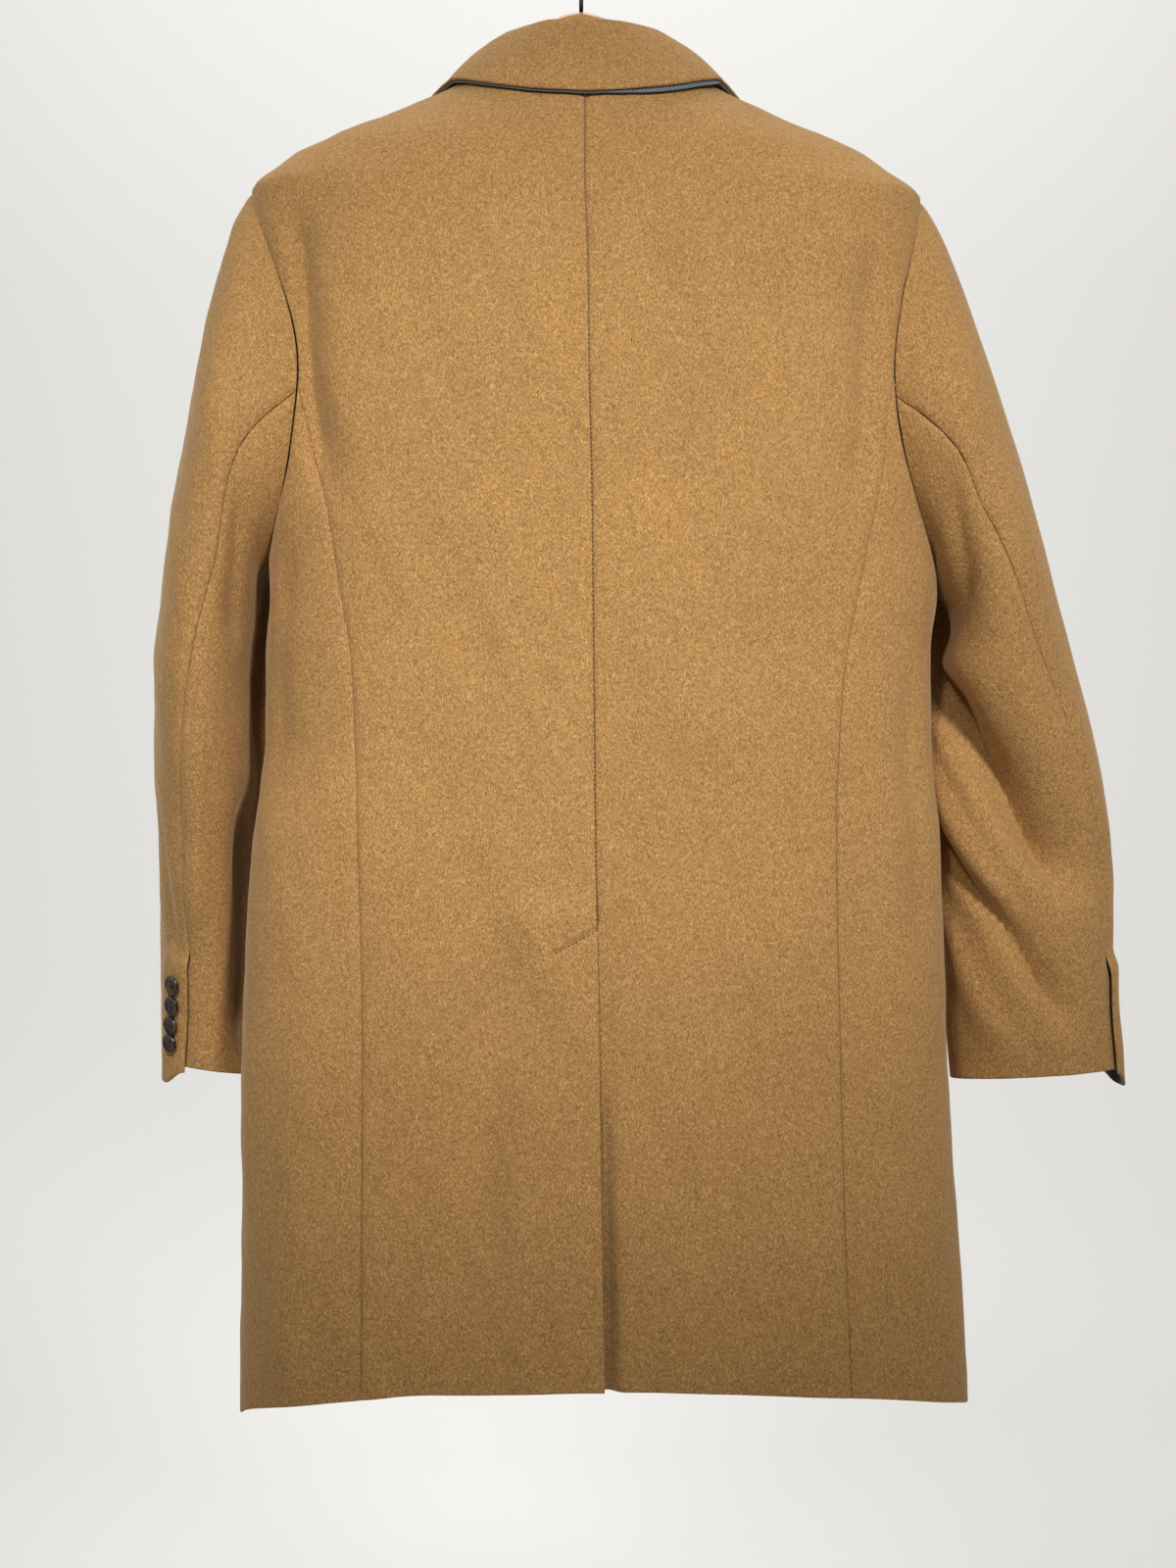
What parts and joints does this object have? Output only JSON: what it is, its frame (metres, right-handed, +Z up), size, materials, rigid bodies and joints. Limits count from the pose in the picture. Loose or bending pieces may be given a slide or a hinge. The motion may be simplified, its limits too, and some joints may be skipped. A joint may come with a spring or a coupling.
{
  "type": "wool overcoat on a wooden hanger",
  "caption": "Knee-length camel wool overcoat with a back vent, notch lapels and two-piece sleeves, hanging open inside on a wooden hanger with a wire hook.",
  "frame": {"origin": "the point inside the hook's bend that rests on a rail", "axes": "+Z up, +X towards the wearer's left, the coat's front faces -Y"},
  "size_m": [0.7053, 0.2514, 1.0828],
  "materials": {
    "wool": "napped camel melton",
    "felt": "grey felt",
    "horn": "polished dark horn",
    "wood": "varnished honey wood",
    "wire": "black"
  },
  "bodies": {
    "root": {"back_left": "wool", "back_right": "wool", "front_left": "wool", "front_right": "wool", "lapel_left": "wool", "lapel_right": "wool", "upper_sleeve_left": "wool", "upper_sleeve_right": "wool", "under_sleeve_left": "wool", "under_sleeve_right": "wool", "collar": "wool", "undercollar": "felt", "cuff_button_left_1": "horn", "cuff_button_left_2": "horn", "cuff_button_left_3": "horn", "cuff_button_left_4": "horn", "cuff_button_right_1": "horn", "cuff_button_right_2": "horn", "cuff_button_right_3": "horn", "cuff_button_right_4": "horn", "front_button_1": "horn", "front_button_2": "horn", "front_button_3": "horn", "hanger": "wood", "hook": "wire"}
  },
  "joints": []
}
